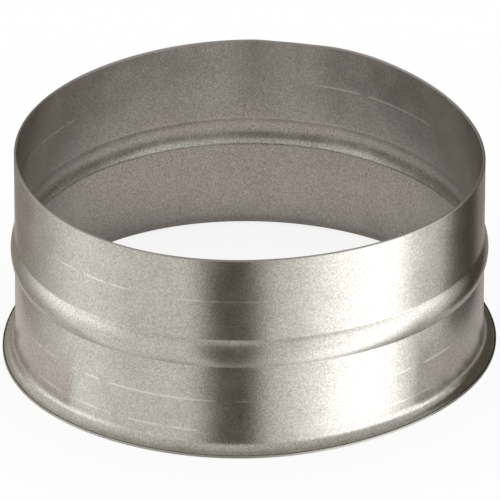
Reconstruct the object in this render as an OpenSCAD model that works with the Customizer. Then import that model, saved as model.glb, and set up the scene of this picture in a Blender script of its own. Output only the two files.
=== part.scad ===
// Duct connector sleeve: one rolled strip of galvanised steel sheet with a stop bead and a turned-out flange.
// It stands on its flange. The origin is the centre of the flange's underside, and +Z runs up the bore.

/* [Sleeve] */
// Outer diameter of the straight wall, which a 150 mm duct passes over
wall_d = 149; // [98:1:200]
// Height from the underside of the flange to the cut rim
sleeve_h = 67.4; // [56:0.2:120]
// Thickness of the steel sheet
sheet_t = 0.8; // [0.5:0.1:1.2]

/* [Flange] */
// How far the flange stands out beyond the wall
flange_w = 4.6; // [3.8:0.1:12]
// Inner radius of the bend between the wall and the flange
bend_r = 3; // [1:0.1:3.4]

/* [Bead] */
// Height of the middle of the bead above the underside of the flange
bead_z = 34.8; // [16:0.2:38]
// Width of the bead, from one run-out to the other
bead_w = 10.2; // [8:0.2:16]
// How far the bead stands out from the wall
bead_h = 1.3; // [0.6:0.1:2]
// Radius of the run-outs, on the hollow side, where the wall turns into the bead
runout_r = 1; // [1:0.5:3]

/* [Hidden] */
$fn = 180;
arc_steps = 10;
wall_r = wall_d / 2;
flange_r = wall_r + flange_w;

// The bead's crown meets both run-outs in a smooth line, which sets its radius and the angle where they meet
bead_radii = (pow(bead_h, 2) + pow(bead_w / 2, 2)) / (2 * bead_h);
crown_r = bead_radii - runout_r;
bead_angle = asin(bead_w / 2 / bead_radii);

// Points on a circle in the [radius, height] plane, from one angle to another
function arc(centre, r, from, to) =
    [for (i = [0:arc_steps]) centre + r * [cos(from + (to - from) * i / arc_steps),
                                           sin(from + (to - from) * i / arc_steps)]];

// One face of the sheet from the flange's edge up to the rim, "inset" deep into the metal from the outer face
function face(inset) = concat(
    [[flange_r, sheet_t - inset]],
    arc([wall_r + bend_r, sheet_t + bend_r], bend_r + inset, 270, 180),
    arc([wall_r + runout_r, bead_z - bead_w / 2], runout_r + inset, 180, 180 - bead_angle),
    arc([wall_r + bead_h - crown_r, bead_z], crown_r - inset, -bead_angle, bead_angle),
    arc([wall_r + runout_r, bead_z + bead_w / 2], runout_r + inset, 180 + bead_angle, 180),
    [[wall_r - inset, sleeve_h]]);

function reversed(points) = [for (i = [len(points) - 1:-1:0]) points[i]];

// The sheet's section, the same thickness through the flange, the bend, the wall and the bead, turned round the bore
module sleeve() {
    color([0.69, 0.68, 0.65])
        rotate_extrude() polygon(concat(face(0), reversed(face(sheet_t))));
}

sleeve();
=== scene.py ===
import math

import bpy
from mathutils import Matrix, Vector


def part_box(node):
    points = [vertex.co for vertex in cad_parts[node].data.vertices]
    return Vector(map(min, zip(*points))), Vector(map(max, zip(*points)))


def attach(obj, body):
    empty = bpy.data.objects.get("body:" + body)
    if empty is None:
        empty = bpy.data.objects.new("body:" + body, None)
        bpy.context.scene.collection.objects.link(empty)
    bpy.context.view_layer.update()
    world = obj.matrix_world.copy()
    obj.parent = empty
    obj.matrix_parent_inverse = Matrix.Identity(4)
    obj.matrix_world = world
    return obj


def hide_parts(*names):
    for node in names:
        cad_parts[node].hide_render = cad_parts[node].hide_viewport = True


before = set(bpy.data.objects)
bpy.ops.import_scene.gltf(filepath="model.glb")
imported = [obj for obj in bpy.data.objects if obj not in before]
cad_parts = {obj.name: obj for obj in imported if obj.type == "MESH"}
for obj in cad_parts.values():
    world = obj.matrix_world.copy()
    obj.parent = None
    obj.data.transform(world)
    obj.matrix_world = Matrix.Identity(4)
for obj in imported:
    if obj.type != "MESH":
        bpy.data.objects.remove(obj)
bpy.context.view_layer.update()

mm = 0.001
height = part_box("sleeve")[1][2] / mm


def linearColour(hexColour):
    # sRGB hex to the linear values that the shaders use
    parts = [int(hexColour[i:i + 2], 16) / 255 for i in (1, 3, 5)]
    return [part / 12.92 if part <= 0.04045 else ((part + 0.055) / 1.055) ** 2.4 for part in parts] + [1]


def addNode(tree, kind, inputs=None, **settings):
    # inputs holds plain values, or the sockets that feed them
    node = tree.nodes.new(kind)
    for name, value in settings.items():
        setattr(node, name, value)
    for key, value in (inputs or {}).items():
        if isinstance(value, bpy.types.NodeSocket):
            tree.links.new(value, node.inputs[key])
        else:
            node.inputs[key].default_value = value
    return node


def newMaterial(name):
    material = bpy.data.materials.new(name)
    material.use_nodes = True
    material.node_tree.nodes.clear()
    return material


# Camera: a long lens, a little under 29 degrees above the table
camera = {
    "elevation": 28.68,
    "roll": 0.04,
    "distance": 2802 * mm,
    "aim": (0.25 * mm, 0, 31 * mm),
    "lens": 634,
    "sensor": 36,
}


def placeCamera():
    elevation = math.radians(camera["elevation"])
    away = Vector((0, -math.cos(elevation), math.sin(elevation)))
    data = bpy.data.cameras.new("Camera")
    data.lens = camera["lens"]
    data.sensor_width = camera["sensor"]
    eye = bpy.data.objects.new("Camera", data)
    eye.location = Vector(camera["aim"]) + away * camera["distance"]
    turn = away.to_track_quat("Z", "Y").to_matrix() @ Matrix.Rotation(math.radians(camera["roll"]), 3, "Z")
    eye.rotation_euler = turn.to_euler()
    bpy.context.scene.collection.objects.link(eye)
    bpy.context.scene.camera = eye


# The sleeve's section in millimetres. Its height comes from the frame.
section = {
    "wallRadius": 74.5,
    "sheet": 0.8,
    "flangeRadius": 78.6,  # before the ring's waves, which take it out nearly to the frame's edge
    "bendRadius": 3.5,
    "beadHeight": 34.8,
    "beadWidth": 10.2,
    "beadRise": 1.3,
    "runoutRadius": 1.0,
    "edgeRadius": 0.18,  # sheared edges, with the burr taken off
    "hold": 0.35,  # plain stretches get a point this near to each end, so that their shading stays flat
    "facets": 720,
    "arcSteps": 12,
    "runoutSteps": 5,
    "edgeSteps": 3,
}

# How the rolled ring strays from a true circle: so many waves round it, how far they reach out at the rim and at
# the foot, in millimetres, and the bearing of a crest, in degrees from the front towards the right
waves = [
    {"count": 1, "rim": (0.15, -95), "foot": (0.9, -40)},
    {"count": 2, "rim": (0.1, -15), "foot": (0.8, -50)},
    {"count": 3, "rim": (1.05, -57), "foot": (0.8, -40)},
    {"count": 4, "rim": (0.55, -22), "foot": (0.15, 20)},
    {"count": 5, "rim": (0, 0), "foot": (0.25, 5)},
]
# Where the rim has been knocked: how far out it then stands, in millimetres, and the bearings over which that
# starts and ends
knocks = [
    {"reach": -0.9, "start": (157, 167), "end": (171, 180)},
    {"reach": 0.3, "start": (137, 149), "end": (151, 162)},
]
knockDepth = 3  # the power of the height by which a knock dies away down the wall

# Fine scores left by the rolls: height in millimetres, face, and the bearings between which each one shows
scores = [
    {"height": 52.9, "face": "outer", "shows": [(-51, -30), (-16, 1)]},
    {"height": 17.9, "face": "outer", "shows": [(-64, 0), (38, 64)]},
    {"height": 7.2, "face": "outer", "shows": [(-58, -3), (32, 54)]},
    {"height": 52.9, "face": "inner", "shows": [(124, 162), (-131, -104)]},
]
scoreWidth = 0.9
scoreRise = 0.05
scoreFade = 4  # degrees on either side of its ends
scoreDashes = 140  # about so many dashes and gaps to a metre
# Each point of the section is marked with its score's number, with 0, or with this if it lies on a cut edge
shearedMark = -1
markSlack = 0.3


def arc(centreR, centreZ, radius, start, end, steps, mark=0):
    angles = [math.radians(start + (end - start) * i / steps) for i in range(steps + 1)]
    return [(centreR + radius * math.cos(a), centreZ + radius * math.sin(a), mark) for a in angles]


def stretch(start, end, face=None):
    # a straight wall between two heights, with points for the scores on it
    radius = start[0]
    low, high = sorted((start[1], end[1]))
    points = [(radius, low + section["hold"], 0)]
    for number, score in sorted(enumerate(scores, 1), key=lambda pair: pair[1]["height"]):
        if score["face"] == face and low < score["height"] < high:
            # the outermost pair keeps the wall's shading flat beyond the score
            points += [(radius, score["height"] + side * scoreWidth / 2, number if side == 0 else 0)
                       for side in (-2, -1, 0, 1, 2)]
    return points + [(radius, high - section["hold"], 0)]


def sheetFace(inset, face):
    # one face of the sheet from the flange up to the rim, "inset" deep into the metal from the outer face
    wall = section["wallRadius"]
    bend, runout = section["bendRadius"], section["runoutRadius"]
    rise, half = section["beadRise"], section["beadWidth"] / 2
    radii = (rise ** 2 + half ** 2) / (2 * rise)  # crown and run-out together, so that they meet smoothly
    slope = math.degrees(math.asin(half / radii))
    low, high = section["beadHeight"] - half, section["beadHeight"] + half
    foot = arc(wall + bend, section["sheet"] + bend, bend + inset, 270, 180, section["arcSteps"])
    into = arc(wall + runout, low, runout + inset, 180, 180 - slope, section["runoutSteps"])
    crown = arc(wall + rise - radii + runout, section["beadHeight"], radii - runout - inset, -slope, slope,
                section["arcSteps"])
    outof = arc(wall + runout, high, runout + inset, 180 + slope, 180, section["runoutSteps"])
    rim = (wall - inset, height - section["edgeRadius"])
    flangeHeight = section["sheet"] - inset
    flange = [(section["flangeRadius"] - section["edgeRadius"] - section["hold"], flangeHeight, 0),
              (wall + bend + section["hold"], flangeHeight, 0)]
    return (flange + foot + stretch(foot[-1], into[0], face) + into + crown[1:-1] + outof
            + stretch(outof[-1], rim, face))


def sheetSection():
    edge, sheet = section["edgeRadius"], section["sheet"]
    wall, flange = section["wallRadius"], section["flangeRadius"]
    outer = sheetFace(0, "outer")
    inner = sheetFace(sheet, "inner")
    steps = section["edgeSteps"]
    flangeTop = arc(flange - edge, sheet - edge, edge, 0, 90, steps, shearedMark)
    flangeUnder = arc(flange - edge, edge, edge, 270, 360, steps, shearedMark)
    rimOuter = arc(wall - edge, height - edge, edge, 0, 90, steps, shearedMark)
    rimInner = arc(wall - sheet + edge, height - edge, edge, 90, 180, steps, shearedMark)
    around = flangeTop + outer + rimOuter + rimInner + inner[::-1] + flangeUnder
    return around[::-1]  # this way round, the swept faces look outwards


def sectionObject():
    points = sheetSection()
    mesh = bpy.data.meshes.new("section")
    loop = [(i, (i + 1) % len(points)) for i in range(len(points))]
    # swept round the bore, the section's own Y axis points down
    mesh.from_pydata([((r - section["wallRadius"]) * mm, -z * mm, 0) for r, z, mark in points], loop, [])
    marks = mesh.attributes.new("mark", "FLOAT", "POINT")
    marks.data.foreach_set("value", [float(mark) for r, z, mark in points])
    piece = bpy.data.objects.new("section", mesh)
    bpy.context.scene.collection.objects.link(piece)
    print("section points", len(points))
    return piece


def sweepTree(material):
    tree = bpy.data.node_groups.new("rolled ring", "GeometryNodeTree")
    sockets = {}
    for name, kind, value in [("Section", "NodeSocketGeometry", None),
                              ("Wall radius", "NodeSocketFloat", section["wallRadius"] * mm),
                              ("Height", "NodeSocketFloat", height * mm),
                              ("Facets", "NodeSocketInt", section["facets"]),
                              ("Score rise", "NodeSocketFloat", scoreRise * mm),
                              ("Material", "NodeSocketMaterial", material)]:
        socket = tree.interface.new_socket(name=name, in_out="INPUT", socket_type=kind)
        sockets[socket.identifier] = value
    tree.interface.new_socket(name="Ring", in_out="OUTPUT", socket_type="NodeSocketGeometry")
    given = addNode(tree, "NodeGroupInput").outputs

    def maths(operation, *values):
        return addNode(tree, "ShaderNodeMath", dict(enumerate(values)), operation=operation).outputs[0]

    profile = addNode(tree, "GeometryNodeMeshToCurve", {"Mesh": given["Section"]})
    bore = addNode(tree, "GeometryNodeCurvePrimitiveCircle",
                   {"Resolution": given["Facets"], "Radius": given["Wall radius"]})
    swept = addNode(tree, "GeometryNodeCurveToMesh",
                    {"Curve": bore.outputs["Curve"], "Profile Curve": profile.outputs["Curve"]})

    place = addNode(tree, "GeometryNodeInputPosition")
    x, y, z = addNode(tree, "ShaderNodeSeparateXYZ", {0: place.outputs[0]}).outputs
    bearing = maths("ARCTAN2", x, maths("MULTIPLY", y, -1.0))
    share = maths("DIVIDE", z, given["Height"])
    reach = 0.0
    for wave in waves:
        for end, weight in (("rim", share), ("foot", maths("SUBTRACT", 1.0, share))):
            size, crest = wave[end]
            if size:
                count = float(wave["count"])
                turn = maths("MULTIPLY_ADD", bearing, count, -math.radians(crest) * count)
                swing = maths("MULTIPLY", maths("COSINE", turn), size * mm)
                reach = maths("MULTIPLY_ADD", swing, weight, reach)

    def within(start, end):
        # 1 between two bearings, each given as where its smooth step begins and stops
        steps = [addNode(tree, "ShaderNodeMapRange", {"Value": bearing, "From Min": math.radians(low),
                                                      "From Max": math.radians(high)},
                         interpolation_type="SMOOTHSTEP")
                 for low, high in (start, end)]
        return maths("SUBTRACT", steps[0].outputs["Result"], steps[1].outputs["Result"])

    for knock in knocks:
        local = maths("MULTIPLY", within(knock["start"], knock["end"]),
                      maths("POWER", share, float(knockDepth)))
        reach = maths("MULTIPLY_ADD", local, knock["reach"] * mm, reach)

    # each score shows between its bearings, broken into dashes
    around = addNode(tree, "ShaderNodeCombineXYZ", {"X": x, "Y": y, "Z": z})
    dashes = addNode(tree, "ShaderNodeTexNoise",
                     {"Vector": around.outputs[0], "Scale": float(scoreDashes), "Detail": 1.0})
    broken = addNode(tree, "ShaderNodeMapRange",
                     {"Value": dashes.outputs["Fac"], "From Min": 0.38, "From Max": 0.5})
    mark = addNode(tree, "GeometryNodeInputNamedAttribute", {"Name": "mark"}, data_type="FLOAT")
    mark = mark.outputs["Attribute"]
    shown = 0.0
    for index, score in enumerate(scores, 1):
        own = maths("COMPARE", mark, float(index), markSlack)
        for low, high in score["shows"]:
            inside = within((low - scoreFade, low + scoreFade), (high - scoreFade, high + scoreFade))
            shown = maths("MULTIPLY_ADD", own, inside, shown)
    shown = maths("MULTIPLY", shown, broken.outputs["Result"])
    flat = addNode(tree, "ShaderNodeCombineXYZ", {"X": x, "Y": y})
    outward = addNode(tree, "ShaderNodeVectorMath", {0: flat.outputs[0]}, operation="NORMALIZE").outputs[0]
    reach = maths("MULTIPLY_ADD", shown, given["Score rise"], reach)
    shift = addNode(tree, "ShaderNodeVectorMath", {0: outward, "Scale": reach}, operation="SCALE")
    marked = addNode(tree, "GeometryNodeStoreNamedAttribute",
                     {"Geometry": swept.outputs["Mesh"], "Name": "score", "Value": shown},
                     data_type="FLOAT", domain="POINT")
    sheared = addNode(tree, "GeometryNodeStoreNamedAttribute",
                      {"Geometry": marked.outputs["Geometry"], "Name": "sheared",
                       "Value": maths("COMPARE", mark, float(shearedMark), markSlack)},
                      data_type="FLOAT", domain="POINT")
    strayed = addNode(tree, "GeometryNodeSetPosition",
                      {"Geometry": sheared.outputs["Geometry"], "Offset": shift.outputs[0]})
    smooth = addNode(tree, "GeometryNodeSetShadeSmooth", {"Geometry": strayed.outputs["Geometry"]})
    real = addNode(tree, "GeometryNodeRealizeInstances", {"Geometry": smooth.outputs["Geometry"]})
    dressed = addNode(tree, "GeometryNodeSetMaterial",
                      {"Geometry": real.outputs["Geometry"], "Material": given["Material"]})
    addNode(tree, "NodeGroupOutput", {"Ring": dressed.outputs["Geometry"]})
    return tree, sockets


def rollSleeve(material):
    piece = sectionObject()
    tree, values = sweepTree(material)
    modifier = piece.modifiers.new("rolled ring", "NODES")
    modifier.node_group = tree
    for identifier, value in values.items():
        if value is not None:
            modifier[identifier] = value
    evaluated = piece.evaluated_get(bpy.context.evaluated_depsgraph_get())
    mesh = bpy.data.meshes.new_from_object(evaluated)
    piece.modifiers.remove(modifier)
    bpy.data.objects.remove(piece)
    mesh.name = "duct sleeve"
    sleeve = bpy.data.objects.new("ductSleeve", mesh)
    bpy.context.scene.collection.objects.link(sleeve)
    print("sleeve faces", len(mesh.polygons), "attributes", [a.name for a in mesh.attributes])
    return sleeve


# Galvanised steel, cold-rolled and lightly drawn: a satin grey zinc skin with a fine crystal mottle. The grain runs
# round the ring, so that what it reflects is drawn out up and down the wall. Cut edges are bare and dull.
zinc = {
    "light": "#e6e4de",
    "dark": "#bcbab3",
    "scored": "#fbfaf6",
    "sheared": "#d0cec8",
    "roughness": 0.24,
    "roughnessSpread": 0.03,
    "scoredRoughness": 0.32,
    "shearedRoughness": 0.6,
    "grain": 0.75,
    "speck": 0.6,  # mm, one crystal of the mottle
    "cloud": 9.0,  # mm
    "cloudShare": 0.2,  # of the mottle, with the crystals as the rest
    "line": 0.5,  # mm, drawn coarser than the real rolling lines, which would not show
    "lineShare": 0.5,  # of the relief, beside the crystals
    "lineDraw": 0.02,  # the lines run this much slower round the ring than up the wall
    "bumpHeight": 0.006,  # mm
}


def galvanisedSheet():
    material = newMaterial("galvanised steel sheet")
    tree = material.node_tree
    coordinates = addNode(tree, "ShaderNodeTexCoord").outputs["Object"]
    perMetre = 1 / mm
    specks = addNode(tree, "ShaderNodeTexNoise", {"Vector": coordinates, "Scale": perMetre / zinc["speck"],
                                                  "Detail": 2.0, "Roughness": 0.6})
    clouds = addNode(tree, "ShaderNodeTexNoise", {"Vector": coordinates, "Scale": perMetre / zinc["cloud"],
                                                  "Detail": 3.0})
    drawn = addNode(tree, "ShaderNodeMapping",
                    {"Vector": coordinates, "Scale": (zinc["lineDraw"], zinc["lineDraw"], 1)})
    lines = addNode(tree, "ShaderNodeTexNoise",
                    {"Vector": drawn.outputs[0], "Scale": perMetre / zinc["line"], "Detail": 2.0})
    mottle = addNode(tree, "ShaderNodeMix", {"Factor": zinc["cloudShare"], "A": specks.outputs["Fac"],
                                             "B": clouds.outputs["Fac"]}, data_type="FLOAT")
    spread = addNode(tree, "ShaderNodeMapRange",
                     {"Value": mottle.outputs[0], "From Min": 0.36, "From Max": 0.64})
    plain = addNode(tree, "ShaderNodeMix",
                    {"Factor": spread.outputs["Result"], "A": linearColour(zinc["dark"]),
                     "B": linearColour(zinc["light"])}, data_type="RGBA")
    score = addNode(tree, "ShaderNodeAttribute", attribute_name="score").outputs["Fac"]
    colour = addNode(tree, "ShaderNodeMix", {"Factor": score, "A": plain.outputs[2],
                                             "B": linearColour(zinc["scored"])}, data_type="RGBA")
    rough = addNode(tree, "ShaderNodeMapRange",
                    {"Value": clouds.outputs["Fac"], "From Min": 0.3, "From Max": 0.7,
                     "To Min": zinc["roughness"] - zinc["roughnessSpread"],
                     "To Max": zinc["roughness"] + zinc["roughnessSpread"]})
    rough = addNode(tree, "ShaderNodeMix", {"Factor": score, "A": rough.outputs["Result"],
                                            "B": zinc["scoredRoughness"]}, data_type="FLOAT")
    sheared = addNode(tree, "ShaderNodeAttribute", attribute_name="sheared").outputs["Fac"]
    colour = addNode(tree, "ShaderNodeMix", {"Factor": sheared, "A": colour.outputs[2],
                                             "B": linearColour(zinc["sheared"])}, data_type="RGBA")
    rough = addNode(tree, "ShaderNodeMix", {"Factor": sheared, "A": rough.outputs[0],
                                            "B": zinc["shearedRoughness"]}, data_type="FLOAT")
    relief = addNode(tree, "ShaderNodeMath", {0: lines.outputs["Fac"], 1: zinc["lineShare"],
                                                2: specks.outputs["Fac"]},
                     operation="MULTIPLY_ADD")
    bump = addNode(tree, "ShaderNodeBump", {"Height": relief.outputs[0], "Strength": 1.0,
                                            "Distance": zinc["bumpHeight"] * mm})
    tangent = addNode(tree, "ShaderNodeTangent", direction_type="RADIAL", axis="Z")
    metal = addNode(tree, "ShaderNodeBsdfPrincipled",
                    {"Base Color": colour.outputs[2], "Metallic": 1.0, "Roughness": rough.outputs[0],
                     "Anisotropic": zinc["grain"], "Anisotropic Rotation": 0.25,
                     "Normal": bump.outputs[0], "Tangent": tangent.outputs[0]})
    addNode(tree, "ShaderNodeOutputMaterial", {"Surface": metal.outputs[0]})
    return material


# A light tent round the table: soft cards that only the metal reflects, each laid over the ones before it.
# Bearings run from the camera towards the right and elevations up from the table, both in degrees. Each edge of
# a card is where it stands and how far it fades. A level of 1 is the white of the background.
tent = {
    "radius": 1.0,
    "columns": 180,
    "rows": 80,
    "room": {"level": 0.3, "colour": "#fff2e6"},
    "cards": [
        {"name": "gap at the camera", "left": (-40, 4), "right": (20, 4), "level": 0.12, "colour": "#fff0dc"},
        {"name": "gap at the right", "left": (100, 4), "right": (142, 14), "level": 0.07, "colour": "#fff0d8"},
        {"name": "left wall", "left": (-112, 60), "right": (-17, 18), "level": 0.72, "colour": "#fffdf8"},
        {"name": "left window", "left": (-92, 30), "right": (-70, 24), "level": 0.88, "colour": "#fffefa"},
        {"name": "right wall", "left": (10, 16), "right": (104, 28), "level": 0.74, "colour": "#fffdf8"},
        {"name": "right window", "left": (38, 46), "right": (76, 20), "level": 1.95, "colour": "#ffffff"},
        {"name": "high left lamp", "left": (-110, 40), "right": (-60, 30), "bottom": (-4, 44), "level": 1.5,
         "colour": "#ffffff"},
        {"name": "high right lamp", "left": (40, 40), "right": (92, 16), "bottom": (-4, 44), "level": 1.8,
         "colour": "#ffffff"},
        {"name": "behind at the left", "right": (-140, 30), "bottom": (2, 20), "level": 0.36,
         "colour": "#fff8e8"},
        {"name": "dark behind at the right", "left": (122, 20), "bottom": (-6, 16), "level": 0.09,
         "colour": "#fff4dc"},
        {"name": "ceiling", "left": (-122, 12), "right": (112, 12), "bottom": (18, 14), "level": 0.56,
         "colour": "#fffdf8"},
        {"name": "ceiling at the left", "left": (-150, 30), "right": (-50, 40), "bottom": (18, 14),
         "level": 0.7, "colour": "#fffdf8"},
        {"name": "ceiling behind", "bottom": (52, 16), "level": 0.5, "colour": "#fffdf8"},
        {"name": "overhead", "bottom": (72, 20), "level": 0.42, "colour": "#fffdf8"},
        {"name": "table far below", "top": (-66, 48), "level": 0.4, "colour": "#fffaf0"},
    ],
}
# The table that the metal sees, in millimetres: a glowing card with a painted pool of light in the bore, off its
# middle and longest towards the back, painted shade that darkens it again close to the foot of the wall, and pale
# outside at the left and the right
table = {
    "x": (-98, 98),
    "y": (-52, 107),
    "cell": 3,
    "lift": -0.2,
    # level of the painted pool of light
    "pool": 0.46,
    "centre": (5, 18),
    "along": 0.8,
    "fade": (20, 90),
    # level of the painted shade at the foot of the wall
    "foot": 0.14,
    "wall": (50, 74),
    "wallShade": 0.6,
    "rim": 80,
    "left": 0.6,
    "right": 0.48,
    "colour": "#fff4f0",
}


def smoothStep(low, high, value):
    share = min(max((value - low) / (high - low), 0), 1)
    return share * share * (3 - 2 * share)


def between(value, start, end):
    # 1 between two soft edges, each of which is a place and how far it fades
    rise = smoothStep(start[0] - start[1] / 2, start[0] + start[1] / 2, value)
    return rise - smoothStep(end[0] - end[1] / 2, end[0] + end[1] / 2, value)


def tentLight(bearing, elevation):
    light = Vector(linearColour(tent["room"]["colour"])[:3]) * tent["room"]["level"]
    for card in tent["cards"]:
        share = between(bearing, card.get("left", (-200, 1)), card.get("right", (200, 1)))
        share *= between(elevation, card.get("bottom", (-100, 1)), card.get("top", (100, 1)))
        light = light.lerp(Vector(linearColour(card["colour"])[:3]) * card["level"], share)
    return light


def gridFaces(columns, rows, closed):
    across = columns if closed else columns + 1
    faces = []
    for row in range(rows):
        low, high = row * across, (row + 1) * across
        faces += [(low + c, low + (c + 1) % across, high + (c + 1) % across, high + c) for c in range(columns)]
    return faces


def glowSheet(name, points, faces, lights):
    # a card that glows by its own colours and that only reflections see
    mesh = bpy.data.meshes.new(name)
    mesh.from_pydata(points, [], faces)
    mesh.attributes.new("light", "FLOAT_COLOR", "POINT").data.foreach_set("color", lights)
    material = newMaterial("glowing cloth")
    light = addNode(material.node_tree, "ShaderNodeAttribute", attribute_name="light")
    glow = addNode(material.node_tree, "ShaderNodeEmission", {"Color": light.outputs["Color"]})
    addNode(material.node_tree, "ShaderNodeOutputMaterial", {"Surface": glow.outputs[0]})
    mesh.materials.append(material)
    piece = bpy.data.objects.new(name, mesh)
    piece.visible_camera = False
    piece.visible_diffuse = False
    piece.visible_transmission = False
    piece.visible_shadow = False
    bpy.context.scene.collection.objects.link(piece)


def hangTent():
    columns, rows = tent["columns"], tent["rows"]
    points, lights = [], []
    for row in range(rows + 1):
        elevation = -90 + 180 * row / rows
        for column in range(columns):
            bearing = -180 + 360 * column / columns
            flat = math.cos(math.radians(elevation)) * tent["radius"]
            points.append((flat * math.sin(math.radians(bearing)), -flat * math.cos(math.radians(bearing)),
                           math.sin(math.radians(elevation)) * tent["radius"]))
            lights += [*tentLight(bearing, elevation), 1]
    glowSheet("lightTent", points, gridFaces(columns, rows, True), lights)


def layTable():
    (left, right), (near, far), cell = table["x"], table["y"], table["cell"]
    columns, rows = round((right - left) / cell), round((far - near) / cell)
    points = [((left + (right - left) * c / columns) * mm, (near + (far - near) * r / rows) * mm,
               table["lift"] * mm) for r in range(rows + 1) for c in range(columns + 1)]
    lights = []
    for x, y, z in points:
        # painted light and shade on the card: a pool of light round the centre, darkened by painted shade towards
        # the foot of the wall
        reach = math.hypot(x / mm - table["centre"][0], (y / mm - table["centre"][1]) * table["along"])
        radius = math.hypot(x, y) / mm
        pool = 1 - smoothStep(*table["fade"], reach)
        pool *= 1 - table["wallShade"] * smoothStep(*table["wall"], radius)
        level = table["foot"] + (table["pool"] - table["foot"]) * pool
        if radius > table["rim"]:
            level = table["left"] if x < 0 else table["right"]
        lights += [level * part for part in linearColour(table["colour"])[:3]] + [1]
    glowSheet("paintedLightTableCard", points, gridFaces(columns, rows, False), lights)


floor = {
    "size": 8.0,
    "paint": "#e7e7e5",
    "lift": 0.85,
}


def layFloor():
    # a pale floor, lifted to the white of the background for the eye, which keeps the sleeve's soft shadow
    half = floor["size"] / 2
    mesh = bpy.data.meshes.new("floor")
    corners = [(-half, -half, 0), (half, -half, 0), (half, half, 0), (-half, half, 0)]
    mesh.from_pydata(corners, [], [(0, 1, 2, 3)])
    material = newMaterial("white painted floor")
    tree = material.node_tree
    paint = addNode(tree, "ShaderNodeBsdfDiffuse", {"Color": linearColour(floor["paint"])})
    shade = addNode(tree, "ShaderNodeBsdfDiffuse", {"Color": [1 - floor["lift"]] * 3 + [1]})
    glow = addNode(tree, "ShaderNodeEmission", {"Strength": floor["lift"]})
    lifted = addNode(tree, "ShaderNodeAddShader", {0: shade.outputs[0], 1: glow.outputs[0]})
    path = addNode(tree, "ShaderNodeLightPath")
    seen = addNode(tree, "ShaderNodeMath",
                   {0: path.outputs["Is Camera Ray"], 1: path.outputs["Is Glossy Ray"]}, operation="ADD")
    seen = addNode(tree, "ShaderNodeMath",
                   {0: seen.outputs[0], 1: path.outputs["Is Transmission Ray"]}, operation="ADD", use_clamp=True)
    look = addNode(tree, "ShaderNodeMixShader",
                   {0: seen.outputs[0], 1: paint.outputs[0], 2: lifted.outputs[0]})
    addNode(tree, "ShaderNodeOutputMaterial", {"Surface": look.outputs[0]})
    mesh.materials.append(material)
    piece = bpy.data.objects.new("floor", mesh)
    bpy.context.scene.collection.objects.link(piece)
    piece.visible_glossy = False


def lightWorld():
    world = bpy.data.worlds.new("studio")
    world.use_nodes = True
    tree = world.node_tree
    tree.nodes.clear()
    sky = addNode(tree, "ShaderNodeBackground", {"Color": (1, 1, 1, 1), "Strength": 1.0})
    addNode(tree, "ShaderNodeOutputWorld", {"Surface": sky.outputs[0]})
    bpy.context.scene.world = world


bpy.context.scene.view_settings.view_transform = "Standard"
placeCamera()
lightWorld()
layFloor()
hangTent()
layTable()
print("studio ready")

sleeve = rollSleeve(galvanisedSheet())
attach(sleeve, "root")
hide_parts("sleeve")
print("sleeve rolled")
